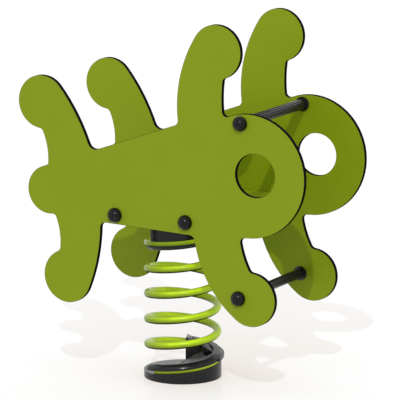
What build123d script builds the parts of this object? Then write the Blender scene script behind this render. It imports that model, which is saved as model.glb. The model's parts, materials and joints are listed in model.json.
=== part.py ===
from build123d import *
import os
from math import asin, cos, degrees, radians, sin, sqrt, tan

# Spring rocker for one child: two flat side panels cut as a creature with a round head and four
# round paws, a seat board, a hand bar and a foot bar between them, all on one upright coil spring.
# Origin: on the spring's axis at ground level. +X is forwards, +Y is left, +Z is up. Millimetres.

os.makedirs("parts", exist_ok=True)

# ================================================================ driving dimensions
panel_thickness = 13.0
panel_gap = 329.0  # clear space between the two panels
edge_break = 0.8  # routed bevel round every board edge

wire_radius = 10.0
coil_radius = 90.0  # from the spring's axis to the wire's centre
coil_pitch = 66.5
coil_start = -110.0  # angle of the wire's lower end, in degrees from +X, anticlockwise from above
coil_turns = 5.6
coil_start_height = 26.0  # the wire's centre above the ground at its lower end
groove_clearance = 0.25

jaw_radius = 100.0
jaw_lip_drop = 6.1  # the base jaw's wall stops this far under the wire's centre
crescent_height = 18.0  # top of the base jaw where no wire lies on it
head_jaw_radius = 99.0
head_jaw_rear = -45.0  # flat face at the back of the head jaw
head_lip_rise = 6.5  # the head jaw's wall stops this far over the wire's centre

clamp_start = -124.6  # angle where both clamps begin
flange_end = 66.0
base_clamp_end = 111.4
head_clamp_end = 112.0
clamp_lip_radius = 103.0
flange_radius = 107.0

hand_bar_x, hand_bar_z = 259.0, 706.4
foot_bar_x, foot_bar_z = 255.0, 264.4
hand_bar_radius, foot_bar_radius = 11.0, 12.5
bar_wall = 2.5
grip_radius = 13.5
collar_thickness, collar_radius = 9.0, 18.7
bar_bolt_radius = 5.0

bracket_bolt_z = 443.4
bracket_centre = 3.5  # the rider's frame sits this far ahead of the spring's axis
bracket_bolt_reach = 101.0  # each bracket bolt from that centre
bracket_thickness = 5.0
bracket_half_length = 128.0
bracket_bolt_radius = 5.0

cap_radius, cap_base, cap_rise = 19.0, 4.0, 16.0

seat_top = 470.5
seat_thickness = 12.0
seat_rear, seat_front = -165.0, 215.0

# ================================================================ worked out from them
panel_inner = panel_gap / 2
panel_outer = panel_inner + panel_thickness
coil_end = coil_start + 360 * coil_turns
head_turn = int(coil_turns)  # whole turns from the base clamp up to the head clamp
head_top = coil_start_height * 2 + coil_pitch * coil_turns  # the wire's two ends are held alike
groove_radius = wire_radius + groove_clearance
seat_underside = seat_top - seat_thickness
bracket_bolt_x = [bracket_centre - bracket_bolt_reach, bracket_centre + bracket_bolt_reach]
bar_places = [(hand_bar_x, hand_bar_z), (foot_bar_x, foot_bar_z)]
bracket_places = [(x, bracket_bolt_z) for x in bracket_bolt_x]
sides = [-1, 1]


# ================================================================ helpers
def outward(x, z, side, face=panel_outer):
    """Plane on a panel's face with its Z axis pointing away from the seat."""
    return Plane(origin=(x, side * face, z), x_dir=(1, 0, 0), z_dir=(0, side, 0))


def outward_section(x, z, side, face=panel_outer):
    """Plane through a bolt's axis: X runs forwards, Y runs away from the seat."""
    return Plane(origin=(x, side * face, z), x_dir=(1, 0, 0), z_dir=(0, 0, side))


def cross_axis(x, z):
    """Axis from right to left through a point of the panels."""
    return Axis((x, 0, z), (0, 1, 0))


def outward_planes(places, face=panel_outer):
    return [outward(x, z, side, face) for x, z in places for side in sides]


def wire_height(angle):
    """Height of the wire's centre at an angle counted on from its lower end."""
    return coil_start_height + coil_pitch * (angle - coil_start) / 360


def towards(angle):
    return (cos(radians(angle)), sin(radians(angle)), 0)


def section_plane(angle):
    """Upright half plane from the spring's axis: X runs outwards, Y up from the wire's height."""
    across = (sin(radians(angle)), -cos(radians(angle)), 0)
    return Plane(origin=(0, 0, wire_height(angle)), x_dir=towards(angle), z_dir=across)


def screw_path(start, end):
    """The wire's centre line between two angles."""
    rise = coil_pitch * (end - start) / 360
    place = Plane(origin=(0, 0, wire_height(start)), x_dir=towards(start), z_dir=(0, 0, 1))
    return place * Edge.make_helix(coil_pitch, rise, coil_radius)


def on_circle(centre, radius, height, side):
    """Point of a circle at a height, on its left (-1) or right (1) side."""
    across = sqrt(radius**2 - (height - centre[1]) ** 2)
    return (centre[0] + side * across, height)


# ================================================================ side panels
paw_radius = 68.5
head_centre, head_radius = (280.7, 575.5), 155.7
eye_centre, eye_radius = (300.3, 578.8), 55.0
tail_centre, tail_radius = (-291.0, 491.3), 62.3
back_slope = 19.47  # degrees the back rises from tail to neck
back_end = (150.0, 713.8)  # inside the front upper leg
belly_rear, belly_front = (-200.0, 423.8), (160.0, 410.0)

# Each leg: paw centre, direction to the centre of its long outer curve and that curve's radius,
# which side of that centre the curve lies, the hollow inner curve's centre and radius, the side
# it lies, and the heights where the leg is rooted in the body and buried in its paw.
legs = [
    ((-310.8, 716.8), 220.1, 499.3, 1, (-468.7, 570.4), 175.4, 1, 540.0, 690.0),
    ((191.1, 878.9), 327.1, 329.9, -1, (547.0, 763.9), 340.0, -1, 640.0, 850.0),
    ((-238.8, 271.3), 157.5, 462.1, 1, (-433.4, 358.9), 174.3, 1, 480.0, 300.0),
    ((288.5, 263.9), 54.3, 291.3, -1, (492.1, 450.1), 236.3, -1, 450.0, 300.0),
]

# Hollow corners of the outline and the radius that rounds each.
hollows = [
    ((-314.0, 645.0), 14.0),
    ((-295.0, 557.0), 8.0),
    ((-178.0, 598.0), 21.6),
    ((84.0, 690.0), 13.0),
    ((208.0, 811.0), 9.0),
    ((208.0, 713.0), 12.0),
    ((-271.0, 432.0), 12.0),
    ((-262.0, 336.0), 14.0),
    ((-141.0, 421.0), 14.0),
    ((126.0, 411.0), 16.0),
    ((257.0, 422.0), 12.0),
    ((284.0, 332.0), 14.0),
]
bolt_hole_radius = 5.5

with BuildSketch() as panel_outline:
    with Locations(head_centre):
        Circle(head_radius)
    with Locations(tail_centre):
        Circle(tail_radius)
    with BuildLine():
        tail_top = (
            tail_centre[0] - tail_radius * sin(radians(back_slope)),
            tail_centre[1] + tail_radius * cos(radians(back_slope)),
        )
        chin = (head_centre[0], head_centre[1] - head_radius)
        Polyline(tail_top, back_end, head_centre, chin, belly_front, belly_rear, tail_centre, close=True)
    make_face()
    for paw, tilt, long_radius, long_side, inner, inner_radius, inner_side, root, neck in legs:
        aim = towards(tilt)
        reach = long_radius - paw_radius
        long_centre = (paw[0] + reach * aim[0], paw[1] + reach * aim[1])
        touch = (paw[0] - paw_radius * aim[0], paw[1] - paw_radius * aim[1])
        middle = on_circle(long_centre, long_radius, (touch[1] + root) / 2, long_side)
        root_outer = on_circle(long_centre, long_radius, root, long_side)
        root_inner = on_circle(inner, inner_radius, root, inner_side)
        inner_middle = on_circle(inner, inner_radius, (root + neck) / 2, inner_side)
        inner_neck = on_circle(inner, inner_radius, neck, inner_side)
        with Locations(paw):
            Circle(paw_radius)
        with BuildLine():
            ThreePointArc(touch, middle, root_outer)
            Line(root_outer, root_inner)
            ThreePointArc(root_inner, inner_middle, inner_neck)
            Line(inner_neck, touch)
        make_face()
    for (x, z), radius in hollows:
        corner = panel_outline.vertices().sort_by_distance((x, z, 0))[0]
        fillet(corner, radius)
    with Locations(eye_centre):
        Circle(eye_radius, mode=Mode.SUBTRACT)

bolt_places = bar_places + bracket_places

with BuildPart() as side_panel_right:
    with BuildSketch(Plane.XZ.offset(panel_inner)):
        add(panel_outline.sketch)
    extrude(amount=panel_thickness)
    chamfer(side_panel_right.faces().filter_by(Axis.Y).edges(), edge_break)
    with BuildSketch(Plane.XZ.offset(panel_inner)):
        with Locations(*bolt_places):
            Circle(bolt_hole_radius)
    extrude(amount=panel_thickness, mode=Mode.SUBTRACT)
side_panel_right.part.label = "side_panel_right"
export_step(side_panel_right.part, "parts/side_panel_right.step")

with BuildPart() as side_panel_left:
    with BuildSketch(Plane.XZ.offset(-panel_outer)):
        add(panel_outline.sketch)
    extrude(amount=panel_thickness)
    chamfer(side_panel_left.faces().filter_by(Axis.Y).edges(), edge_break)
    with BuildSketch(Plane.XZ.offset(-panel_outer)):
        with Locations(*bolt_places):
            Circle(bolt_hole_radius)
    extrude(amount=panel_thickness, mode=Mode.SUBTRACT)
side_panel_left.part.label = "side_panel_left"
export_step(side_panel_left.part, "parts/side_panel_left.step")

# ================================================================ seat board and its screws
seat_length = seat_front - seat_rear
seat_middle = (seat_front + seat_rear) / 2
seat_width = panel_gap - 4.0
seat_corner = 22.0
seat_screw_x = [bracket_centre - 70.0, bracket_centre + 70.0]
seat_screw_y = panel_inner - 17.5
seat_screw_places = [(x, side * seat_screw_y) for x in seat_screw_x for side in sides]
seat_screw_radius = 3.0
seat_screw_head = 6.0
seat_screw_sink = 3.0
seat_nut_height = 5.0
seat_nut_radius = 5.8
seat_screw_tail = 7.0  # its end reaches this far under the folded edge
seat_socket, seat_socket_depth = 2.3, 2.0
slack = 0.05  # clearance of a thread or a plug in its hole
lip_thickness = bracket_thickness
lip_underside = seat_underside - lip_thickness
seat_screw_length = seat_top - seat_screw_sink - lip_underside + seat_screw_tail
upright = (Align.CENTER, Align.CENTER, Align.MIN)
hanging = (Align.CENTER, Align.CENTER, Align.MAX)

with BuildPart() as seat_board:
    with BuildSketch(Plane.XY.offset(seat_underside)):
        with Locations((seat_middle, 0)):
            RectangleRounded(seat_length, seat_width, seat_corner)
    extrude(amount=seat_thickness)
    chamfer(seat_board.faces().filter_by(Axis.Z).edges(), edge_break)
    with BuildSketch(Plane.XY.offset(seat_underside)):
        with Locations(*seat_screw_places):
            Circle(seat_screw_radius + slack)
    extrude(amount=seat_thickness, mode=Mode.SUBTRACT)
    with Locations(*[(x, y, seat_top) for x, y in seat_screw_places]):
        Cone(
            seat_screw_radius + slack,
            seat_screw_head + slack,
            seat_screw_sink,
            align=hanging,
            mode=Mode.SUBTRACT,
        )
seat_board.part.label = "seat_board"
export_step(seat_board.part, "parts/seat_board.step")

with BuildPart() as seat_screws:
    with Locations(*[(x, y, seat_top) for x, y in seat_screw_places]):
        Cone(seat_screw_radius, seat_screw_head, seat_screw_sink, align=hanging)
    with Locations(*[(x, y, seat_top - seat_screw_sink) for x, y in seat_screw_places]):
        Cylinder(seat_screw_radius, seat_screw_length, align=hanging)
    with BuildSketch(Plane.XY.offset(seat_top)):
        with Locations(*seat_screw_places):
            RegularPolygon(seat_socket, 6)
    extrude(amount=-seat_socket_depth, mode=Mode.SUBTRACT)
seat_screws.part.label = "seat_screws"
export_step(seat_screws.part, "parts/seat_screws.step")

with BuildPart() as seat_nuts:
    with BuildSketch(Plane.XY.offset(lip_underside)):
        with Locations(*seat_screw_places):
            RegularPolygon(seat_nut_radius, 6)
            Circle(seat_screw_radius + slack, mode=Mode.SUBTRACT)
    extrude(amount=-seat_nut_height)
seat_nuts.part.label = "seat_nuts"
export_step(seat_nuts.part, "parts/seat_nuts.step")

# ================================================================ hand bar and foot bar
collar_flange = 3.5
collar_boss_radius = 16.5
collar_boss = 5.5
bar_end = panel_inner - collar_flange - 0.1
bar_length = 2 * bar_end
plug_length = 25.0
grip_length = 2 * (panel_inner - collar_flange - collar_boss - 0.5)
grip_flutes = 14
flute_radius = 1.3

with BuildPart() as handle_bar:
    with BuildSketch(Plane.XZ.offset(-bar_end)):
        with Locations((hand_bar_x, hand_bar_z)):
            Circle(hand_bar_radius)
            Circle(hand_bar_radius - bar_wall, mode=Mode.SUBTRACT)
    extrude(amount=bar_length)
handle_bar.part.label = "handle_bar"
export_step(handle_bar.part, "parts/handle_bar.step")

with BuildPart() as footrest_bar:
    with BuildSketch(Plane.XZ.offset(-bar_end)):
        with Locations((foot_bar_x, foot_bar_z)):
            Circle(foot_bar_radius)
            Circle(foot_bar_radius - bar_wall, mode=Mode.SUBTRACT)
    extrude(amount=bar_length)
footrest_bar.part.label = "footrest_bar"
export_step(footrest_bar.part, "parts/footrest_bar.step")

with BuildPart() as handle_grip:
    with BuildSketch(Plane.XZ.offset(-grip_length / 2)):
        with Locations((hand_bar_x, hand_bar_z)):
            Circle(grip_radius)
            Circle(hand_bar_radius + slack, mode=Mode.SUBTRACT)
            with PolarLocations(grip_radius + flute_radius / 2, grip_flutes):
                Circle(flute_radius, mode=Mode.SUBTRACT)
    extrude(amount=grip_length)
handle_grip.part.label = "handle_grip"
export_step(handle_grip.part, "parts/handle_grip.step")


def collar_section(bar_radius):
    """Half section of a collar: X from the bar's axis, Y outwards from the panel's inner face."""
    floor = -collar_flange
    mouth = floor - collar_boss
    pocket = bar_radius + slack
    return [
        (bolt_hole_radius, 0),
        (collar_radius, 0),
        (collar_radius, floor),
        (collar_boss_radius, floor),
        (collar_boss_radius, mouth),
        (pocket, mouth),
        (pocket, floor),
        (bolt_hole_radius, floor),
    ]


with BuildPart() as handle_collars:
    for side in sides:
        with BuildSketch(outward_section(hand_bar_x, hand_bar_z, side, panel_inner)):
            with BuildLine():
                Polyline(*collar_section(hand_bar_radius), close=True)
            make_face()
        revolve(axis=cross_axis(hand_bar_x, hand_bar_z))
handle_collars.part.label = "handle_collars"
export_step(handle_collars.part, "parts/handle_collars.step")

with BuildPart() as footrest_collars:
    for side in sides:
        with BuildSketch(outward_section(foot_bar_x, foot_bar_z, side, panel_inner)):
            with BuildLine():
                Polyline(*collar_section(foot_bar_radius), close=True)
            make_face()
        revolve(axis=cross_axis(foot_bar_x, foot_bar_z))
footrest_collars.part.label = "footrest_collars"
export_step(footrest_collars.part, "parts/footrest_collars.step")

with BuildPart() as bar_plugs:
    with Locations(*outward_planes([(hand_bar_x, hand_bar_z)], bar_end)):
        Cylinder(hand_bar_radius - bar_wall - slack, plug_length, align=hanging)
    with Locations(*outward_planes([(foot_bar_x, foot_bar_z)], bar_end)):
        Cylinder(foot_bar_radius - bar_wall - slack, plug_length, align=hanging)
    with Locations(*outward_planes(bar_places, bar_end)):
        Cylinder(bar_bolt_radius + slack, plug_length, align=hanging, mode=Mode.SUBTRACT)
bar_plugs.part.label = "bar_plugs"
export_step(bar_plugs.part, "parts/bar_plugs.step")

# ================================================================ panel bolts and their domed caps
washer_seat = 2.0  # the bolt head bears this far outside the panel's face
bolt_head_radius = 8.75
bolt_head_height = 5.5
washer_hole = 5.3
washer_recess = 9.2
cap_wall = 2.0
dome_radius = (cap_radius**2 + cap_rise**2) / (2 * cap_rise)
dome_drop = dome_radius - cap_rise  # the dome's centre lies this far under its rim
bar_bolt_length = 29.0
bolt_socket = 3.5
bracket_washer, bracket_washer_radius = 2.0, 9.0
bracket_nut_height = 8.0
bracket_nut_radius = 9.2
bolt_tail = 2.0  # a bolt's end reaches this far past its nut
bracket_bolt_length = (
    washer_seat
    + panel_thickness
    + bracket_thickness
    + bracket_washer
    + bracket_nut_height
    + bolt_tail
)

with BuildPart() as cap_washers:
    with Locations(*outward_planes(bolt_places)):
        Cylinder(cap_radius, cap_base, align=upright)
        Cylinder(washer_hole, cap_base, align=upright, mode=Mode.SUBTRACT)
    with Locations(*outward_planes(bolt_places, panel_outer + washer_seat)):
        Cylinder(washer_recess, cap_base, align=upright, mode=Mode.SUBTRACT)
cap_washers.part.label = "cap_washers"
export_step(cap_washers.part, "parts/cap_washers.step")

with BuildPart() as bolt_caps:
    with Locations(*outward_planes(bolt_places, panel_outer + cap_base - dome_drop)):
        Sphere(dome_radius, degrees(asin(dome_drop / dome_radius)), align=None)
        Sphere(dome_radius - cap_wall, mode=Mode.SUBTRACT)
bolt_caps.part.label = "bolt_caps"
export_step(bolt_caps.part, "parts/bolt_caps.step")

with BuildPart() as bar_bolts:
    with Locations(*outward_planes(bar_places, panel_outer + washer_seat)):
        Cylinder(bolt_head_radius, bolt_head_height, align=upright)
        Cylinder(bar_bolt_radius, bar_bolt_length, align=hanging)
    for x, z in bar_places:
        for side in sides:
            with BuildSketch(outward(x, z, side, panel_outer + washer_seat + bolt_head_height)):
                RegularPolygon(bolt_socket, 6)
            extrude(amount=-bolt_head_height / 2, mode=Mode.SUBTRACT)
bar_bolts.part.label = "bar_bolts"
export_step(bar_bolts.part, "parts/bar_bolts.step")

with BuildPart() as bracket_bolts:
    with Locations(*outward_planes(bracket_places, panel_outer + washer_seat)):
        Cylinder(bolt_head_radius, bolt_head_height, align=upright)
        Cylinder(bracket_bolt_radius, bracket_bolt_length, align=hanging)
    for x, z in bracket_places:
        for side in sides:
            with BuildSketch(outward(x, z, side, panel_outer + washer_seat + bolt_head_height)):
                RegularPolygon(bolt_socket, 6)
            extrude(amount=-bolt_head_height / 2, mode=Mode.SUBTRACT)
bracket_bolts.part.label = "bracket_bolts"
export_step(bracket_bolts.part, "parts/bracket_bolts.step")

with BuildPart() as bracket_washers:
    with Locations(*outward_planes(bracket_places, panel_inner - bracket_thickness)):
        Cylinder(bracket_washer_radius, bracket_washer, align=hanging)
        Cylinder(washer_hole, bracket_washer, align=hanging, mode=Mode.SUBTRACT)
bracket_washers.part.label = "bracket_washers"
export_step(bracket_washers.part, "parts/bracket_washers.step")

with BuildPart() as bracket_nuts:
    for x, z in bracket_places:
        for side in sides:
            with BuildSketch(outward(x, z, side, panel_inner - bracket_thickness - bracket_washer)):
                RegularPolygon(bracket_nut_radius, 6)
                Circle(bracket_bolt_radius + slack, mode=Mode.SUBTRACT)
            extrude(amount=-bracket_nut_height)
bracket_nuts.part.label = "bracket_nuts"
export_step(bracket_nuts.part, "parts/bracket_nuts.step")

# ================================================================ folded saddle bracket
bend_outer = 6.0
bend_inner = 1.0
lip_width = 30.0
saddle_screw_x = [-25.0, 55.0]
saddle_screw_y = 55.0
saddle_screw_places = [(x, side * saddle_screw_y) for x in saddle_screw_x for side in sides]
saddle_screw_radius = 5.0
screw_play = 0.5  # how much wider a through hole's radius is than its screw's
saddle_screw_depth = 12.0
saddle_head_height = 6.4
saddle_head_radius = 9.2
plate_top = head_top + bracket_thickness

with BuildPart() as saddle_bracket:
    with BuildSketch(Plane.YZ.offset(bracket_centre - bracket_half_length)) as fold:
        with Locations((0, head_top)):
            Rectangle(panel_gap, bracket_thickness, align=(Align.CENTER, Align.MIN))
        for side, edge in [(-1, Align.MIN), (1, Align.MAX)]:
            with Locations((side * panel_inner, head_top)):
                Rectangle(bracket_thickness, seat_underside - head_top, align=(edge, Align.MIN))
            with Locations((side * panel_inner, seat_underside)):
                Rectangle(lip_width, bracket_thickness, align=(edge, Align.MAX))
        corners = fold.vertices().group_by(Axis.Y)
        for row in [corners[0], corners[-1]]:
            outer = [v for v in row if abs(abs(v.X) - panel_inner) < slack]
            fillet(outer, bend_outer)
        inner_side = panel_inner - bracket_thickness
        fillet([v for v in fold.vertices() if abs(abs(v.X) - inner_side) < slack], bend_inner)
    extrude(amount=2 * bracket_half_length)
    with Locations(*[(x, y, plate_top) for x, y in saddle_screw_places]):
        Cylinder(
            saddle_screw_radius + screw_play,
            bracket_thickness,
            align=hanging,
            mode=Mode.SUBTRACT,
        )
    with Locations(*[(x, y, seat_underside) for x, y in seat_screw_places]):
        Cylinder(
            seat_screw_radius + screw_play, lip_thickness, align=hanging, mode=Mode.SUBTRACT
        )
    with Locations(*outward_planes(bracket_places, panel_inner)):
        Cylinder(bolt_hole_radius, bracket_thickness, align=hanging, mode=Mode.SUBTRACT)
saddle_bracket.part.label = "saddle_bracket"
export_step(saddle_bracket.part, "parts/saddle_bracket.step")

with BuildPart() as saddle_screws:
    with BuildSketch(Plane.XY.offset(plate_top)):
        with Locations(*saddle_screw_places):
            RegularPolygon(saddle_head_radius, 6)
    extrude(amount=saddle_head_height)
    with Locations(*[(x, y, plate_top) for x, y in saddle_screw_places]):
        Cylinder(saddle_screw_radius, bracket_thickness + saddle_screw_depth, align=hanging)
saddle_screws.part.label = "saddle_screws"
export_step(saddle_screws.part, "parts/saddle_screws.step")

# ================================================================ coil spring
with BuildPart() as spring:
    with BuildSketch(section_plane(coil_start)):
        with Locations((coil_radius, 0)):
            Circle(wire_radius)
    sweep(path=screw_path(coil_start, coil_end), is_frenet=True)
spring.part.label = "spring"
export_step(spring.part, "parts/spring.step")

# ================================================================ base jaw and its clamp
far = 150.0  # beyond any jaw
jaw_bore = 12.0  # the helical floors start this far from the axis
core_radius, core_floor = 14.0, 20.0
jaw_wall_top = 62.0
jaw_floor_start = clamp_start + 12.6
groove_over = 0.2  # walls and closed grooves run on this far past an end, in degrees
floor_over, mouth_over = 1.0, 5.0  # so do the helical floor and the wire's way out
crescent_spokes = [150.0, 200.0]  # two directions between the ends of the crescent, in degrees
anchor_circle, anchor_radius, anchor_depth = 140.0, 6.0, 12.0

# The well in the middle of the base, seen from above: a curved edge, a narrow tip that runs in
# front of the horn, the horn's curved face and, across the well, a flat wall.
well_start, well_middle, well_end = (16.0, -14.0), (33.5, 5.5), (41.0, 32.0)
well_tip, horn_middle, horn_rear = (60.0, 36.5), (40.0, 41.0), (25.0, 57.0)
well_wall_rear, well_wall_front = -22.2, 19.0
well_wall, well_wall_thickness = 56.0, 4.0
well_rear = -60.0
hood_height, hood_slope = 80.4, 7.6  # its sloping top: height over the axis and degrees

clamp_bolt_radius = 4.0
clamp_head_radius = 6.5
clamp_head_height = 8.0
clamp_pocket_radius = 11.0
clamp_bolt_reach = 14.0  # how far the bolts go into a jaw
bolt_bottom_gap = 1.0  # the bolts stop this far short of their holes' ends
web_top, web_inside = 9.0, 28.0
base_gap = 1.8  # the base clamp's rim over the wire's centre
pad_radius, pad_floor, pad_clearance = 12.0, 3.0, 0.6  # the web is thickened around each bolt
base_pad = pad_clearance - jaw_lip_drop
base_bolts_at = [(-107.5, 45.0), (20.0, 67.7)]
hood_bolt_at = [(104.0, 71.0)]
hood_bolt_seat, hood_boss_radius, hood_spot_radius = 15.0, 9.0, 7.2


def around(angle, radius, height):
    return (radius * cos(radians(angle)), radius * sin(radians(angle)), height)


def on_web(places, turn, rise):
    """Points on the wire's screw surface at the given angles and radii, lifted by rise."""
    return [around(a, r, wire_height(a + 360 * turn) + rise) for a, r in places]


def well_outline(far_side):
    """The well seen from above, closed on its far side by a straight line."""
    with BuildLine() as outline:
        ThreePointArc(well_start, well_middle, well_end)
        Line(well_end, well_tip)
        ThreePointArc(well_tip, horn_middle, horn_rear)
        Polyline(
            horn_rear,
            (well_wall_front, far_side),
            (well_rear, far_side),
            (well_rear, 0),
            (0, -core_floor),
            well_start,
        )
    return outline.line


def above_hood():
    """Side view of everything over the hood's sloping top."""
    rise = far * tan(radians(hood_slope))
    with BuildLine() as outline:
        Polyline(
            (-far, hood_height + rise),
            (-far, far),
            (far, far),
            (far, hood_height - rise),
            close=True,
        )
    return outline.line


with BuildPart() as base_jaw:
    Cylinder(jaw_radius, jaw_wall_top, align=upright)
    with BuildSketch(section_plane(jaw_floor_start)):
        with Locations((jaw_bore, -jaw_lip_drop)):
            Rectangle(far - jaw_bore, far / 2, align=(Align.MIN, Align.MIN))
    sweep(
        path=screw_path(jaw_floor_start, base_clamp_end + floor_over),
        is_frenet=True,
        mode=Mode.SUBTRACT,
    )
    with BuildSketch(Plane.XY.offset(crescent_height)):
        with BuildLine():
            spokes = [base_clamp_end, *crescent_spokes, jaw_floor_start + 360]
            Polyline((0, 0), *[around(a, far, 0) for a in spokes], close=True)
        make_face()
    extrude(amount=far, mode=Mode.SUBTRACT)
    with Locations((0, 0, core_floor)):
        Cylinder(core_radius, far, align=upright, mode=Mode.SUBTRACT)
    with BuildSketch(Plane.XY.offset(crescent_height)):
        with BuildLine():
            add(well_outline(well_wall))
        make_face()
    extrude(amount=far, mode=Mode.SUBTRACT)
    with BuildSketch(Plane.XY.offset(crescent_height)):
        with Locations((well_wall_rear, well_wall)):
            Rectangle(
                well_wall_front - well_wall_rear,
                well_wall_thickness,
                align=(Align.MIN, Align.MIN),
            )
    extrude(amount=hood_height)
    with BuildSketch(Plane.XZ):
        with BuildLine():
            add(above_hood())
        make_face()
    extrude(amount=far, both=True, mode=Mode.SUBTRACT)
    with BuildSketch(section_plane(coil_start - groove_over)):
        with Locations((coil_radius, 0)):
            Circle(groove_radius)
    sweep(
        path=screw_path(coil_start - groove_over, base_clamp_end + mouth_over),
        is_frenet=True,
        mode=Mode.SUBTRACT,
    )
    with PolarLocations(anchor_circle / 2, 4, start_angle=45):
        Cylinder(anchor_radius, anchor_depth, align=upright, mode=Mode.SUBTRACT)
    with Locations(*on_web(base_bolts_at + hood_bolt_at, 0, -jaw_lip_drop - clamp_bolt_reach)):
        Cylinder(clamp_bolt_radius + slack, far, align=upright, mode=Mode.SUBTRACT)
base_jaw.part.label = "base_jaw"
export_step(base_jaw.part, "parts/base_jaw.step")

rim_radius, rim_top = 103.0, 6.0
crown_radius, crown_top, crown_inside = 88.0, 17.0, 80.0
web_edge = 76.0
shoulder_in, shoulder_up = 4.4, 6.6  # middle of the rim's rounded shoulder, from the rim's edge


def clamp_outline(gap, flip):
    """Half section of a clamp over the wire's centre line, or under it when flip is -1."""
    pinch = sqrt(groove_radius**2 - gap**2)
    shoulder = (rim_radius - shoulder_in, flip * (rim_top + shoulder_up))
    with BuildLine() as outline:
        ThreePointArc((rim_radius, flip * rim_top), shoulder, (crown_radius, flip * crown_top))
        Polyline(
            (crown_radius, flip * crown_top),
            (crown_inside, flip * crown_top),
            (web_edge, flip * web_top),
            (web_inside, flip * web_top),
            (web_inside, flip * gap),
            (coil_radius - pinch, flip * gap),
        )
        ThreePointArc(
            (coil_radius - pinch, flip * gap),
            (coil_radius, flip * groove_radius),
            (coil_radius + pinch, flip * gap),
        )
        Polyline(
            (coil_radius + pinch, flip * gap),
            (rim_radius, flip * gap),
            (rim_radius, flip * rim_top),
        )
    return outline.line


def pad_angles(angle, radius):
    """Where the thickened web around a bolt starts and ends."""
    half = degrees(pad_radius / radius)
    return angle - half, angle + half


# The clamp's far end: a dish that climbs outwards to a raised rim, a horn beside the well that
# slopes down into the dish, and a hood over the wire's way out. Their sections start inside the
# clamp's body, clear of the groove; the rim and the hood are made too high, then cut to the
# sloping top, and the horn's face is cut with the well.
overlap = 1.0  # how deep joined bodies reach into each other
groove_wall = 2.0  # least thickness over the groove
hood_over = 26.0
groove_roof = groove_radius + groove_wall
wall_foot = coil_radius + groove_radius + 0.5
root = base_gap + overlap
dish_start, dish_inside, dish_top = 5.0, 64.0, 16.0
outer_wall_start, outer_wall_inside = 30.0, 96.5
dish_outside = outer_wall_inside + overlap
end_wall_start, end_wall_inside = 109.4, 64.6
dish_section = [
    (dish_inside, root),
    (dish_inside, web_top),
    (dish_outside, dish_top),
    (dish_outside, groove_roof),
    (coil_radius - wire_radius / 2, groove_roof - overlap),
    (crown_inside - 2 * overlap, root),
]
outer_wall_section = [
    (wall_foot, base_gap),
    (rim_radius, base_gap),
    (rim_radius, hood_over),
    (outer_wall_inside, hood_over),
    (outer_wall_inside, groove_roof),
    (wall_foot, groove_roof / 2),
]
horn_plan = [horn_rear, well_end, (62.0, 34.0), (64.0, 41.0), (55.0, 52.0), (38.0, 64.0), (27.0, 64.0)]
horn_foot = 60.5
horn_side = [(24.0, horn_foot), (24.0, 80.0), (41.7, 74.0), (66.0, 62.7), (66.0, horn_foot)]
end_wall_groove = groove_radius + 0.3
end_pinch = sqrt(end_wall_groove**2 - base_pad**2)

with BuildPart() as horn:
    with BuildSketch(Plane.XY.offset(horn_foot)):
        with BuildLine():
            Polyline(*horn_plan, close=True)
        make_face()
    extrude(amount=far)
    with BuildSketch(Plane.XZ):
        with BuildLine():
            Polyline(*horn_side, close=True)
        make_face()
    extrude(amount=-far, mode=Mode.INTERSECT)

with BuildPart() as base_clamp:
    with BuildSketch(section_plane(clamp_start)):
        with BuildLine():
            add(clamp_outline(base_gap, 1))
        make_face()
    sweep(path=screw_path(clamp_start, base_clamp_end), is_frenet=True)
    with BuildSketch(section_plane(0)):
        with Locations((rim_radius - overlap, base_gap)):
            Rectangle(flange_radius - rim_radius + overlap, rim_top, align=(Align.MIN, Align.MIN))
    sweep(path=screw_path(0, flange_end), is_frenet=True)
    for angle, radius in base_bolts_at:
        start, end = pad_angles(angle, radius)
        with BuildSketch(section_plane(start)):
            with Locations((radius - pad_radius, base_pad)):
                Rectangle(2 * pad_radius, root - base_pad, align=(Align.MIN, Align.MIN))
        sweep(path=screw_path(start, end), is_frenet=True)
    with BuildSketch(section_plane(dish_start)):
        with BuildLine():
            Polyline(*dish_section, close=True)
        make_face()
    sweep(path=screw_path(dish_start, base_clamp_end - groove_over), is_frenet=True)
    with BuildSketch(section_plane(outer_wall_start)):
        with BuildLine():
            Polyline(*outer_wall_section, close=True)
        make_face()
    sweep(path=screw_path(outer_wall_start, base_clamp_end), is_frenet=True)
    with BuildSketch(section_plane(end_wall_start)):
        with BuildLine():
            ThreePointArc(
                (coil_radius - end_pinch, base_pad),
                (coil_radius, end_wall_groove),
                (coil_radius + end_pinch, base_pad),
            )
            Polyline(
                (coil_radius + end_pinch, base_pad),
                (rim_radius, base_pad),
                (rim_radius, hood_over),
                (end_wall_inside, hood_over),
                (end_wall_inside, base_pad),
                (coil_radius - end_pinch, base_pad),
            )
        make_face()
    sweep(path=screw_path(end_wall_start, base_clamp_end + groove_over), is_frenet=True)
    with Locations(*on_web(hood_bolt_at, 0, root)):
        Cylinder(hood_boss_radius, hood_bolt_seat - root, align=upright)
    add(horn.part)
    with BuildSketch(Plane.XZ):
        with BuildLine():
            add(above_hood())
        make_face()
    extrude(amount=far, both=True, mode=Mode.SUBTRACT)
    with BuildSketch(Plane.XY):
        with BuildLine():
            add(well_outline(well_wall + well_wall_thickness + groove_clearance))
        make_face()
    extrude(amount=far, mode=Mode.SUBTRACT)
    with Locations(*on_web(base_bolts_at, 0, base_pad + pad_floor)):
        Cylinder(clamp_pocket_radius, far, align=upright, mode=Mode.SUBTRACT)
    with Locations(*on_web(hood_bolt_at, 0, hood_bolt_seat)):
        Cylinder(hood_spot_radius, far, align=upright, mode=Mode.SUBTRACT)
    with Locations(*on_web(base_bolts_at + hood_bolt_at, 0, base_gap)):
        Cylinder(clamp_bolt_radius + screw_play, far, mode=Mode.SUBTRACT)
base_clamp.part.label = "base_clamp"
export_step(base_clamp.part, "parts/base_clamp.step")

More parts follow.
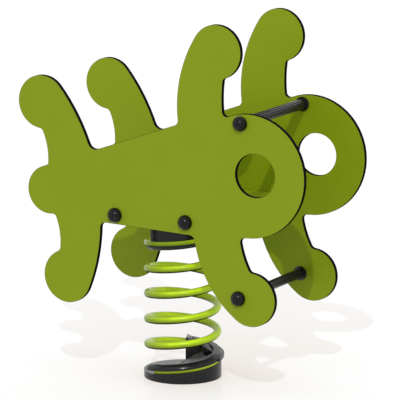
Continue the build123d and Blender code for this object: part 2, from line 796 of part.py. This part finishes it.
bolt_reach = clamp_bolt_reach - bolt_bottom_gap
base_bolt_length = pad_clearance + pad_floor + bolt_reach
hood_bolt_length = hood_bolt_seat + jaw_lip_drop + bolt_reach

with BuildPart() as base_clamp_bolts:
    with Locations(*on_web(base_bolts_at, 0, base_pad + pad_floor)):
        Cylinder(clamp_head_radius, clamp_head_height, align=upright)
        Cylinder(clamp_bolt_radius, base_bolt_length, align=hanging)
    with Locations(*on_web(hood_bolt_at, 0, hood_bolt_seat)):
        Cylinder(clamp_head_radius, clamp_head_height, align=upright)
        Cylinder(clamp_bolt_radius, hood_bolt_length, align=hanging)
    head_tops = on_web(base_bolts_at, 0, base_pad + pad_floor + clamp_head_height)
    head_tops += on_web(hood_bolt_at, 0, hood_bolt_seat + clamp_head_height)
    for x, y, z in head_tops:
        with BuildSketch(Plane.XY.offset(z)):
            with Locations((x, y)):
                RegularPolygon(bolt_socket, 6)
        extrude(amount=-clamp_head_height / 2, mode=Mode.SUBTRACT)
base_clamp_bolts.part.label = "base_clamp_bolts"
export_step(base_clamp_bolts.part, "parts/base_clamp_bolts.step")

# ================================================================ head jaw and its clamp
head_gap = 3.9  # the head clamp's rim under the wire's centre
head_jaw_foot = 350.0
head_cut_start, head_cut_end, head_spoke = -125.0, 130.0, 180.0
head_rear_ceiling = 400.0
head_bolts_at = [(-60.0, 50.0), (60.0, 50.0)]
head_offset = 360 * head_turn
head_pad = head_lip_rise - pad_clearance
saddle_hole_depth = saddle_screw_depth + 2

with BuildPart() as head_jaw:
    with BuildSketch(Plane.XY.offset(head_jaw_foot)):
        Circle(head_jaw_radius)
        with Locations((head_jaw_rear, 0)):
            Rectangle(far, 2 * far, align=(Align.MIN, Align.CENTER), mode=Mode.INTERSECT)
    extrude(amount=head_top - head_jaw_foot)
    with BuildSketch(section_plane(head_cut_start + head_offset)):
        with Locations((jaw_bore, head_lip_rise)):
            Rectangle(far - jaw_bore, far / 2, align=(Align.MIN, Align.MAX))
    sweep(
        path=screw_path(head_cut_start + head_offset, head_cut_end + head_offset),
        is_frenet=True,
        mode=Mode.SUBTRACT,
    )
    with BuildSketch(Plane.XY.offset(head_jaw_foot)):
        with BuildLine():
            spokes = [head_cut_end, head_spoke, head_cut_start + 360]
            Polyline((0, 0), *[around(a, far, 0) for a in spokes], close=True)
        make_face()
    extrude(amount=head_rear_ceiling - head_jaw_foot, mode=Mode.SUBTRACT)
    with Locations((0, 0, head_jaw_foot)):
        Cylinder(core_radius, head_rear_ceiling - head_jaw_foot, align=upright, mode=Mode.SUBTRACT)
    with BuildSketch(section_plane(head_cut_start + head_offset)):
        with Locations((coil_radius, 0)):
            Circle(groove_radius)
    sweep(
        path=screw_path(head_cut_start + head_offset, coil_end + groove_over),
        is_frenet=True,
        mode=Mode.SUBTRACT,
    )
    with Locations(*[(x, y, head_top) for x, y in saddle_screw_places]):
        Cylinder(
            saddle_screw_radius + slack, saddle_hole_depth, align=hanging, mode=Mode.SUBTRACT
        )
    with Locations(*on_web(head_bolts_at, head_turn, head_lip_rise + clamp_bolt_reach)):
        Cylinder(clamp_bolt_radius + slack, far, align=hanging, mode=Mode.SUBTRACT)
head_jaw.part.label = "head_jaw"
export_step(head_jaw.part, "parts/head_jaw.step")

with BuildPart() as head_clamp:
    with BuildSketch(section_plane(clamp_start + head_offset)):
        with BuildLine():
            add(clamp_outline(head_gap, -1))
        make_face()
    sweep(
        path=screw_path(clamp_start + head_offset, head_clamp_end + head_offset),
        is_frenet=True,
    )
    for angle, radius in head_bolts_at:
        start, end = pad_angles(angle, radius)
        with BuildSketch(section_plane(start + head_offset)):
            with Locations((radius - pad_radius, head_pad)):
                Rectangle(
                    2 * pad_radius, head_pad + head_gap + overlap, align=(Align.MIN, Align.MAX)
                )
        sweep(path=screw_path(start + head_offset, end + head_offset), is_frenet=True)
    with Locations(*on_web(head_bolts_at, head_turn, head_pad - pad_floor)):
        Cylinder(clamp_pocket_radius, far, align=hanging, mode=Mode.SUBTRACT)
        Cylinder(clamp_bolt_radius + screw_play, far, mode=Mode.SUBTRACT)
head_clamp.part.label = "head_clamp"
export_step(head_clamp.part, "parts/head_clamp.step")

head_bolt_length = pad_clearance + pad_floor + bolt_reach

with BuildPart() as head_clamp_bolts:
    with Locations(*on_web(head_bolts_at, head_turn, head_pad - pad_floor)):
        Cylinder(clamp_head_radius, clamp_head_height, align=hanging)
        Cylinder(clamp_bolt_radius, head_bolt_length, align=upright)
    for x, y, z in on_web(head_bolts_at, head_turn, head_pad - pad_floor - clamp_head_height):
        with BuildSketch(Plane.XY.offset(z)):
            with Locations((x, y)):
                RegularPolygon(bolt_socket, 6)
        extrude(amount=clamp_head_height / 2, mode=Mode.SUBTRACT)
head_clamp_bolts.part.label = "head_clamp_bolts"
export_step(head_clamp_bolts.part, "parts/head_clamp_bolts.step")
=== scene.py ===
import json
from math import ceil, cos, pi, radians, sin

import bpy
from mathutils import Matrix, Vector


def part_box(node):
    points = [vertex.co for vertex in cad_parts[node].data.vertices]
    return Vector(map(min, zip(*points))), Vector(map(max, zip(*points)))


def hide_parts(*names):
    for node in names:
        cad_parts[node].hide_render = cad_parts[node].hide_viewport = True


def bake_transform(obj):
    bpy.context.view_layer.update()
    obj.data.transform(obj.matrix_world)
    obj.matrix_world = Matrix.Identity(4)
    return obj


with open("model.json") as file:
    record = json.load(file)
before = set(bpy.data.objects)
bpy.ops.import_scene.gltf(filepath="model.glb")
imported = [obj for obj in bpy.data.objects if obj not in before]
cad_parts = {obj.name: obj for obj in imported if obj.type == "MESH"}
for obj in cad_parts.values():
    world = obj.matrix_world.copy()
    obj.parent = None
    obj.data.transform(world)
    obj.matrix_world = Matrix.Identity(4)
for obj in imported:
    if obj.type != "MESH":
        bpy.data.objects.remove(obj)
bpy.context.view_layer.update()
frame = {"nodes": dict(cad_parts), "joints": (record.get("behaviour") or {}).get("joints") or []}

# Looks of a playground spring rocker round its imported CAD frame. Metres throughout: the origin is
# on the spring's axis at ground level, +X points forwards, +Y to the left and +Z up.

nodes = frame["nodes"]
scene = bpy.context.scene

# ================================================================ places read from the frame
panel_low, panel_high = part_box("side_panel_right")
panel_middle = -(panel_low[1] + panel_high[1]) / 2
panel_half = (panel_high[1] - panel_low[1]) / 2
seat_low, seat_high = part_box("seat_board")
seat_middle = (seat_low[2] + seat_high[2]) / 2
seat_half = (seat_high[2] - seat_low[2]) / 2
grip_low, grip_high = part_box("handle_grip")
grip_middle = [(low + high) / 2 for low, high in zip(grip_low, grip_high)]
grip_radius = (grip_high[0] - grip_low[0]) / 2
spring_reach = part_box("spring")[1][0]
hinge_heights = [joint["pos_m"][2] for joint in frame["joints"]]


# ================================================================ material helpers
def srgb(red, green, blue):
    """Linear colour of a display colour given in 0..255 steps."""
    def linear(value):
        share = value / 255
        return share / 12.92 if share <= 0.04045 else ((share + 0.055) / 1.055) ** 2.4
    return (linear(red), linear(green), linear(blue), 1.0)


class Look:
    """One material's node tree, with short calls for the nodes used here."""

    def __init__(self, name):
        self.material = bpy.data.materials.new(name)
        self.material.use_nodes = True
        self.tree = self.material.node_tree
        self.surface = self.tree.nodes["Principled BSDF"]
        self.place = self.new("ShaderNodeTexCoord").outputs["Object"]
        self.geometry = self.new("ShaderNodeNewGeometry")
        self.normal = self.geometry.outputs["Normal"]

    def new(self, kind, **settings):
        node = self.tree.nodes.new(kind)
        for key, value in settings.items():
            setattr(node, key, value)
        return node

    def feed(self, socket, value):
        """Puts a plain value or another node's output into an input socket."""
        if isinstance(value, (int, float, tuple)):
            socket.default_value = value
        else:
            self.tree.links.new(value, socket)

    def set(self, **values):
        """Surface inputs by name, with underscores for the spaces."""
        for key, value in values.items():
            self.feed(self.surface.inputs[key.replace("_", " ")], value)

    def along(self, axis):
        """Place along one axis of the row frame."""
        node = self.new("ShaderNodeSeparateXYZ")
        self.feed(node.inputs["Vector"], self.place)
        return node.outputs[axis]

    def towards(self, direction):
        """How far the surface faces in a direction, from -1 to 1."""
        node = self.new("ShaderNodeVectorMath", operation="DOT_PRODUCT")
        self.feed(node.inputs[0], self.normal)
        node.inputs[1].default_value = direction
        return node.outputs["Value"]

    def noise(self, scale, detail=2, rough=0.5, stretch=(1, 1, 1)):
        """Noise over the row frame, scale in features per metre."""
        mapping = self.new("ShaderNodeMapping")
        mapping.inputs["Scale"].default_value = stretch
        self.feed(mapping.inputs["Vector"], self.place)
        node = self.new("ShaderNodeTexNoise")
        node.inputs["Scale"].default_value = scale
        node.inputs["Detail"].default_value = detail
        node.inputs["Roughness"].default_value = rough
        self.feed(node.inputs["Vector"], mapping.outputs["Vector"])
        return node.outputs["Fac"]

    def ramp(self, source, stops):
        """Colour ramp through (position, colour) stops."""
        node = self.new("ShaderNodeValToRGB")
        points = node.color_ramp.elements
        while len(points) < len(stops):
            points.new(0.5)
        for point, (position, colour) in zip(points, stops):
            point.position = position
            point.color = colour
        self.feed(node.inputs["Fac"], source)
        return node.outputs["Color"]

    def spread(self, source, low=0.0, high=1.0, start=0.3, end=0.7):
        """Maps a source's range from start to end onto the values from low to high."""
        node = self.new("ShaderNodeMapRange")
        node.inputs["From Min"].default_value = start
        node.inputs["From Max"].default_value = end
        node.inputs["To Min"].default_value = low
        node.inputs["To Max"].default_value = high
        self.feed(node.inputs["Value"], source)
        return node.outputs["Result"]

    def math(self, operation, *values):
        node = self.new("ShaderNodeMath", operation=operation)
        for socket, value in zip(node.inputs, values):
            self.feed(socket, value)
        return node.outputs["Value"]

    def mix(self, share, first, second):
        """Colour between first and second by a share socket."""
        node = self.new("ShaderNodeMix", data_type="RGBA")
        for place, value in [(0, share), (6, first), (7, second)]:
            self.feed(node.inputs[place], value)
        return node.outputs[2]

    def bump(self, height, strength, distance, under=None):
        node = self.new("ShaderNodeBump")
        node.inputs["Strength"].default_value = strength
        node.inputs["Distance"].default_value = distance
        self.feed(node.inputs["Height"], height)
        if under is not None:
            self.feed(node.inputs["Normal"], under)
        return node.outputs["Normal"]

    def blend_shaders(self, share, first, second):
        node = self.new("ShaderNodeMixShader")
        for socket, value in zip(node.inputs, [share, first, second]):
            self.feed(socket, value)
        return node.outputs["Shader"]

    def finish(self, colour, roughness, normal, **values):
        self.set(Base_Color=colour, Roughness=roughness, Normal=normal, **values)
        return self.material


# ================================================================ materials
board_skin = 0.00005  # depth of the coloured skin
skin_shine = 0.5
inner_glow = (0.01, 0.015, 0.0, 1)  # light bounced between the panels
inner_limit = -0.1  # a panel's inner face has its normal's Y times its own Y below this
panel_green = [(0.176, 0.238, 0.003, 1), (0.184, 0.247, 0.0036, 1), (0.2, 0.26, 0.02, 1)]
core_black = [srgb(12, 12, 15), srgb(22, 21, 26)]
saw_stretch = (1, 6, 1)
board_tint = (0.85, 1.0, 0.2, 1)

cap_colours = [srgb(6, 6, 8), srgb(12, 11, 14)]
collar_colours = [srgb(14, 14, 17), srgb(20, 20, 23)]
ridge_colours = [srgb(14, 14, 17), srgb(24, 24, 27)]
valley_colour = srgb(3, 3, 3)
ridge_shine = 0.4
flute_shade_full, flute_shade_none = 0.0004, 0.0002  # depth in the grip's flutes where the painted shade covers it and where it ends
bar_colours = [srgb(20, 20, 23), srgb(27, 27, 30)]
bracket_colours = [srgb(16, 16, 18), srgb(24, 24, 26)]
cast_colours = [srgb(18, 18, 20), srgb(30, 30, 33)]
zinc_stops = [(0.3, (0.33, 0.33, 0.34, 1)), (0.7, (0.52, 0.52, 0.53, 1))]
drawn_stretch = (1, 1, 0.1)

sunny_side = (0.302, -0.695, 0.652)
rim_side = (0.88, 0.475, 0.0)
glow_share, rim_share = 0.15, 0.3
blotch_size = 0.03
underside_shade_full, underside_shade_none = -0.68, -0.3  # the normal's Z where the painted shade under the coil covers the coating and where it ends
# Painted light and shade of the coil's coating, by how far the wire faces the sun.
coil_painted_shading = [
    (0.5, (0.11, 0.16, 0.004, 1)),
    (0.77, (0.21, 0.3, 0.003, 1)),
    (0.9, (0.3, 0.44, 0.005, 1)),
    (0.98, (0.46, 0.67, 0.012, 1)),
]
# Painted glow of the coil, made stronger on its right side as a painted rim light.
coil_painted_glow = (0.7, 1.0, 0.03, 1)
# Painted shade on the coil's underside.
coil_painted_shade = (0.012, 0.018, 0.0003, 1)


def board_material(name, axis, middle, half, peel_strength):
    """Coloured board with a dark core: the colour is a skin on both faces, the cut edge is dark.

    axis is the board's thickness axis, middle its middle plane's distance from the origin.
    """
    look = Look(name)
    offset = look.math("SUBTRACT", look.math("ABSOLUTE", look.along(axis)), middle)
    skin = look.math("GREATER_THAN", look.math("ABSOLUTE", offset), half - board_skin)
    face, cloud, speck = panel_green
    plain = look.mix(look.spread(look.noise(scale=9, detail=3)), face, cloud)
    worn = look.mix(look.spread(look.noise(scale=900), high=0.06, start=0.45, end=0.75), plain, speck)
    core = look.mix(look.spread(look.noise(scale=300, stretch=saw_stretch)), *core_black)
    peel = look.bump(look.noise(scale=420), strength=peel_strength, distance=0.0006)
    waves = look.bump(look.noise(scale=16), strength=0.12, distance=0.004, under=peel)
    side = look.math("MULTIPLY", look.towards((0, 1, 0)), look.along("Y"))
    inner = look.math("LESS_THAN", side, inner_limit)
    return look.finish(
        look.mix(skin, core, worn),
        look.spread(look.noise(scale=35, detail=4), low=0.34, high=0.46),
        waves,
        Specular_IOR_Level=look.math("MULTIPLY", skin, skin_shine),
        Specular_Tint=board_tint,
        IOR=1.7,
        Emission_Color=inner_glow,
        Emission_Strength=look.math("MULTIPLY", inner, skin),
    )


def black_plastic_material(name, colours, rough, depth, shine):
    """Moulded black plastic with a fine pebble grain."""
    look = Look(name)
    colour = look.mix(look.spread(look.noise(scale=60, detail=4)), *colours)
    grain = look.bump(look.noise(scale=600), strength=0.25, distance=depth)
    return look.finish(
        colour, look.spread(look.noise(scale=110, detail=3), *rough), grain, Specular_IOR_Level=shine
    )


def grip_material(name):
    """Ribbed rubber: dull ridges, and flutes painted black as shade."""
    look = Look(name)
    ahead = look.math("SUBTRACT", look.along("X"), grip_middle[0])
    above = look.math("SUBTRACT", look.along("Z"), grip_middle[2])
    squares = look.math("ADD", look.math("POWER", ahead, 2.0), look.math("POWER", above, 2.0))
    reach = look.math("SQRT", squares)
    # Painted shade: the flutes turn black towards their bottoms.
    high = look.spread(reach, start=grip_radius - flute_shade_full, end=grip_radius - flute_shade_none)
    worn = look.mix(look.spread(look.noise(scale=60, detail=4)), *ridge_colours)
    return look.finish(
        look.mix(high, valley_colour, worn),
        look.spread(look.noise(scale=110, detail=3), low=0.3, high=0.38),
        look.bump(look.noise(scale=900), strength=0.25, distance=0.0003),
        Specular_IOR_Level=look.math("MULTIPLY", high, ridge_shine),
    )


def coated_metal_material(name, colours, rough, shine):
    """Powder coating: a soft orange peel under a thin gloss."""
    look = Look(name)
    colour = look.mix(look.spread(look.noise(scale=30, detail=3)), *colours)
    fine = look.bump(look.noise(scale=520), strength=0.1, distance=0.0005)
    slow = look.bump(look.noise(scale=60), strength=0.1, distance=0.002, under=fine)
    return look.finish(
        colour, look.spread(look.noise(scale=80, detail=3), *rough), slow, Specular_IOR_Level=shine
    )


def coil_material(name):
    """Spring's powder coating with painted light: a painted highlight on its sunny side, a painted
    glow that a painted rim light makes stronger on its right side, and painted shade underneath.
    """
    look = Look(name)
    blotch = look.spread(look.noise(scale=45, detail=4), -blotch_size, blotch_size)
    # Painted highlight and shade: the coating is lighter where the wire faces the sun.
    coat = look.ramp(look.math("ADD", look.towards(sunny_side), blotch), coil_painted_shading)
    # Painted shade on the wire's underside, darker where it faces down.
    height = look.math("ADD", look.towards((0, 0, 1)), blotch)
    unshaded = look.spread(height, start=underside_shade_full, end=underside_shade_none)
    # Painted glow, with a painted rim light on the wire's right side.
    side_light = look.math("MAXIMUM", look.towards(rim_side), 0.0)
    glow = look.math("MULTIPLY_ADD", side_light, rim_share, glow_share)
    fine = look.bump(look.noise(scale=520), strength=0.05, distance=0.0005)
    slow = look.bump(look.noise(scale=60), strength=0.05, distance=0.002, under=fine)
    return look.finish(
        look.mix(unshaded, coil_painted_shade, coat),
        look.spread(look.noise(scale=80, detail=3), low=0.3, high=0.4),
        slow,
        Specular_IOR_Level=0.0,
        Coat_Weight=unshaded,
        Coat_IOR=1.3,
        Coat_Roughness=0.25,
        Emission_Color=coil_painted_glow,
        Emission_Strength=look.math("MULTIPLY", unshaded, glow),
    )


def cast_material(name):
    """Painted casting: a glossy sand-cast grain, a little lighter on its high spots."""
    look = Look(name)
    sand = look.noise(scale=260, detail=5, rough=0.6)
    colour = look.mix(look.spread(sand, start=0.35, end=0.75), *cast_colours)
    grain = look.bump(sand, strength=0.12, distance=0.0005)
    lumps = look.bump(look.noise(scale=45, detail=3), strength=0.12, distance=0.001, under=grain)
    gloss = look.spread(look.noise(scale=120, detail=3), low=0.18, high=0.3)
    return look.finish(colour, gloss, lumps, Specular_IOR_Level=0.25)


def steel_material(name):
    """Zinc-plated steel with a faint drawn grain."""
    look = Look(name)
    drawn = look.noise(scale=700, detail=3, stretch=drawn_stretch)
    gloss = look.spread(drawn, low=0.22, high=0.42)
    grain = look.bump(drawn, strength=0.1, distance=0.0003)
    return look.finish(look.ramp(drawn, zinc_stops), gloss, grain, Metallic=1.0)


panel_board = board_material("panel_board", "Y", panel_middle, panel_half, peel_strength=0.1)
seat_plastic = board_material("seat_plastic", "Z", seat_middle, seat_half, peel_strength=0.4)
caps_black = black_plastic_material(
    "caps_black", cap_colours, rough=(0.15, 0.2), depth=0.0001, shine=0.2
)
collar_black = black_plastic_material(
    "collar_black", collar_colours, rough=(0.22, 0.3), depth=0.0002, shine=0.5
)
grip_rubber = grip_material("grip_rubber")
bar_black = coated_metal_material("bar_black", bar_colours, rough=(0.25, 0.35), shine=0.14)
bracket_black = coated_metal_material(
    "bracket_black", bracket_colours, rough=(0.3, 0.42), shine=0.1
)
spring_lime = coil_material("spring_lime")
casting_black = cast_material("casting_black")
zinc_steel = steel_material("zinc_steel")

finishes = {
    panel_board: ["side_panel_left", "side_panel_right"],
    seat_plastic: ["seat_board"],
    caps_black: ["bolt_caps", "cap_washers"],
    collar_black: ["handle_collars", "footrest_collars"],
    grip_rubber: ["handle_grip"],
    bar_black: ["handle_bar", "footrest_bar"],
    bracket_black: ["saddle_bracket"],
    casting_black: ["head_jaw", "head_clamp", "base_jaw", "base_clamp"],
    zinc_steel: [
        "seat_screws", "seat_nuts", "bar_plugs", "bar_bolts", "bracket_bolts", "bracket_washers",
        "bracket_nuts", "saddle_screws", "head_clamp_bolts", "base_clamp_bolts",
    ],
}
for material, names in finishes.items():
    for name in names:
        mesh = nodes[name].data
        mesh.materials.clear()
        mesh.materials.append(material)


# ================================================================ coil spring in two halves
wire_radius = 0.01
coil_radius = spring_reach - wire_radius
coil_pitch = 0.0665
coil_start = radians(-110)
coil_first = 0.026  # the wire's centre above the ground at its lower end
coil_turns = 5.6
wire_sides = 24
steps_per_turn = 96
spring_middle = sum(hinge_heights) / len(hinge_heights)
overhead = Vector((0, 0, 1))


def wire_ring(turn):
    """Points round the wire's section at a number of turns from its lower end."""
    angle = coil_start + 2 * pi * turn
    out = Vector((cos(angle), sin(angle), 0))
    centre = out * coil_radius + overhead * (coil_first + coil_pitch * turn)
    return [
        centre + wire_radius * (cos(side) * out + sin(side) * overhead)
        for side in (2 * pi * step / wire_sides for step in range(wire_sides))
    ]


def wire_piece(name, first_turn, last_turn):
    """Wire with closed ends between two numbers of turns. It takes the CAD spring's place."""
    steps = ceil((last_turn - first_turn) * steps_per_turn)
    turns = [first_turn + (last_turn - first_turn) * step / steps for step in range(steps + 1)]
    points = [point for turn in turns for point in wire_ring(turn)]
    faces = []
    for row in range(steps):
        for side in range(wire_sides):
            here, beside = row * wire_sides + side, row * wire_sides + (side + 1) % wire_sides
            faces.append((here, here + wire_sides, beside + wire_sides, beside))
    faces.append(tuple(range(wire_sides)))
    faces.append(tuple(steps * wire_sides + side for side in reversed(range(wire_sides))))
    mesh = bpy.data.meshes.new(name)
    mesh.from_pydata(points, [], faces)
    for polygon in mesh.polygons:
        polygon.use_smooth = len(polygon.vertices) == 4
    mesh.materials.append(spring_lime)
    piece = bpy.data.objects.new(name, mesh)
    scene.collection.objects.link(piece)
    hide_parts("spring")
    return piece


middle_turn = (spring_middle - coil_first) / coil_pitch
spring_lower = wire_piece("spring_lower", 0.0, middle_turn)
spring_upper = wire_piece("spring_upper", middle_turn, coil_turns)
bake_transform(spring_lower)
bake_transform(spring_upper)

# ================================================================ floor
# The floor lies a hair under the base, so that the two faces don't flicker.
floor_reach, floor_drop = 40.0, 0.0005
floor_tint = (0.32, 0.42, 0.5, 1)
floor_lift = (0.60, 0.47, 0.37, 1)
floor_bounce = (0.2, 0.2, 0.2, 1)
floor_polish = 0.07
floor_roughness, polish_roughness = 0.6, 0.12


def floor_material(name):
    """Pale floor with a faint polish, clear from below so that the underside can be seen."""
    look = Look(name)
    path = look.new("ShaderNodeLightPath")
    seen = look.math("MAXIMUM", path.outputs["Is Camera Ray"], path.outputs["Is Glossy Ray"])
    look.set(
        Base_Color=look.mix(seen, floor_bounce, floor_tint),
        Roughness=floor_roughness,
        Specular_IOR_Level=0.0,
        Emission_Color=floor_lift,
        Emission_Strength=seen,
    )
    polish = look.new("ShaderNodeBsdfGlossy")
    polish.inputs["Roughness"].default_value = polish_roughness
    clear = look.new("ShaderNodeBsdfTransparent")
    polished = look.blend_shaders(floor_polish, look.surface.outputs["BSDF"], polish.outputs["BSDF"])
    below = look.geometry.outputs["Backfacing"]
    one_sided = look.blend_shaders(below, polished, clear.outputs["BSDF"])
    look.feed(look.tree.nodes["Material Output"].inputs["Surface"], one_sided)
    return look.material


floor_corners = [
    (right * floor_reach, ahead * floor_reach, -floor_drop)
    for right, ahead in [(-1, -1), (1, -1), (1, 1), (-1, 1)]
]
floor_mesh = bpy.data.meshes.new("floor")
floor_mesh.from_pydata(floor_corners, [], [(0, 1, 2, 3)])
floor_mesh.materials.append(floor_material("pale_floor"))
floor = bpy.data.objects.new("floor", floor_mesh)
scene.collection.objects.link(floor)

# ================================================================ light
sky_strength = 1.15
sun_strength, sun_width = 1.25, radians(0.7)

world = bpy.data.worlds.new("studio")
world.use_nodes = True
sky = world.node_tree.nodes["Background"]
sky.inputs["Color"].default_value = (1, 1, 1, 1)
sky.inputs["Strength"].default_value = sky_strength
scene.world = world

sun = bpy.data.lights.new("sun", "SUN")
sun.energy = sun_strength
sun.angle = sun_width
sun_travel = -Vector(sunny_side)
sun_object = bpy.data.objects.new("sun", sun)
sun_object.matrix_world = sun_travel.to_track_quat("-Z", "Y").to_matrix().to_4x4()
scene.collection.objects.link(sun_object)

# ================================================================ camera
camera_azimuth, camera_elevation = radians(28.367), radians(10.95)
camera_distance = 8.748
camera_lens, sensor_width = 304.65, 36  # millimetres
target_right, target_up = 0.04449, 0.45239

right = Vector((cos(camera_azimuth), sin(camera_azimuth), 0))
back = Vector((
    sin(camera_azimuth) * cos(camera_elevation),
    -cos(camera_azimuth) * cos(camera_elevation),
    sin(camera_elevation),
))
up = back.cross(right)
camera_data = bpy.data.cameras.new("camera")
camera_data.lens = camera_lens
camera_data.sensor_width = sensor_width
camera = bpy.data.objects.new("camera", camera_data)
eye = right * target_right + up * target_up + back * camera_distance
camera.matrix_world = Matrix.Translation(eye) @ Matrix((right, up, back)).transposed().to_4x4()
scene.collection.objects.link(camera)
scene.camera = camera
scene.view_settings.view_transform = "Standard"
